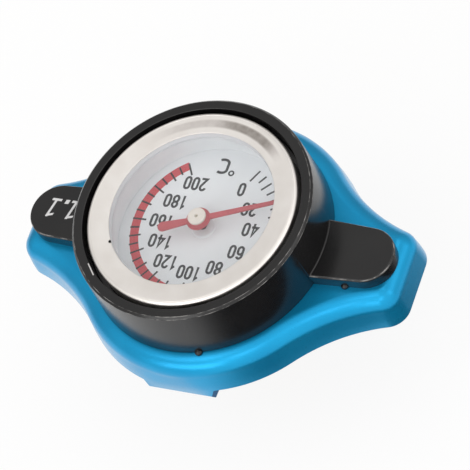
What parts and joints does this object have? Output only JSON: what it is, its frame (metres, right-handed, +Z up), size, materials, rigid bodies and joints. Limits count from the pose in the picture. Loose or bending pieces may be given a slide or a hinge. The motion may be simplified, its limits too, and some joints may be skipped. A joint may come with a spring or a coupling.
{
  "type": "radiator cap thermometer",
  "caption": "Pressed blue bayonet radiator cap with finger lugs, sprung pressure and vacuum valves, and a black housing on top with a bimetal dial thermometer on a brass probe.",
  "frame": {"origin": "on the axis of the cap, in the plane where the top seal meets the rim of the filler neck", "axes": "+Z up along the axis of the cap, X along the two finger lugs, +Y to the top of the dial's figures"},
  "size_m": [0.0716, 0.0496, 0.0453],
  "materials": {
    "blue_anodised": "glossy blue anodised sheet",
    "black_plastic": "gloss black moulding",
    "polished_steel": "polished",
    "clear_glass": "clear",
    "black_rubber": "matte",
    "pale_plastic": "satin moulding",
    "dial_white": "matte white with a printed scale",
    "pointer_red": "satin red",
    "cream_plastic": "satin",
    "brass": "turned",
    "zinc_steel": "zinc plated",
    "spring_steel": "drawn, lightly oiled",
    "bimetal_strip": "rolled strip"
  },
  "bodies": {
    "cap": {"cap_body": "blue_anodised", "gauge_housing": "black_plastic", "housing_screws": "zinc_steel", "gauge_case": "zinc_steel", "bezel": "polished_steel", "lens": "clear_glass", "lens_gasket": "black_rubber", "dial_spacer": "pale_plastic", "dial": "dial_white", "upper_bush": "brass", "lower_bush": "brass", "stem_tube": "brass", "stem_plug": "brass", "bimetal_coil": "bimetal_strip", "stem_washer": "zinc_steel", "stem_nut": "brass", "diaphragm": "spring_steel", "top_seal": "black_rubber", "spring_seat": "zinc_steel", "guide_tube": "zinc_steel", "main_spring": "spring_steel"},
    "pointer": {"pointer": "pointer_red", "pointer_cap": "cream_plastic", "spindle": "zinc_steel"},
    "pressure_valve": {"pressure_plate": "zinc_steel", "main_seal": "black_rubber", "vacuum_spring": "spring_steel"},
    "vacuum_valve": {"vacuum_valve": "brass", "vacuum_keeper": "zinc_steel"}
  },
  "joints": [
    {"name": "pointer_turn", "type": "hinge", "parent": "cap", "child": "pointer", "pos_m": [0, 0, 0.0105], "axis": [0, 0, 1], "range_deg": [-261, 39], "stiffness_Nm_per_rad": 0.00002},
    {"name": "pressure_valve_lift", "type": "slide", "parent": "cap", "child": "pressure_valve", "axis": [0, 0, 1], "range_m": [0, 0.0045], "stiffness_N_per_m": 3000, "springref_m": -0.0003, "deforming": ["main_spring"]},
    {"name": "vacuum_valve_open", "type": "slide", "parent": "pressure_valve", "child": "vacuum_valve", "axis": [0, 0, -1], "range_m": [0, 0.0015], "stiffness_N_per_m": 100, "springref_m": -0.001, "deforming": ["vacuum_spring"]}
  ]
}
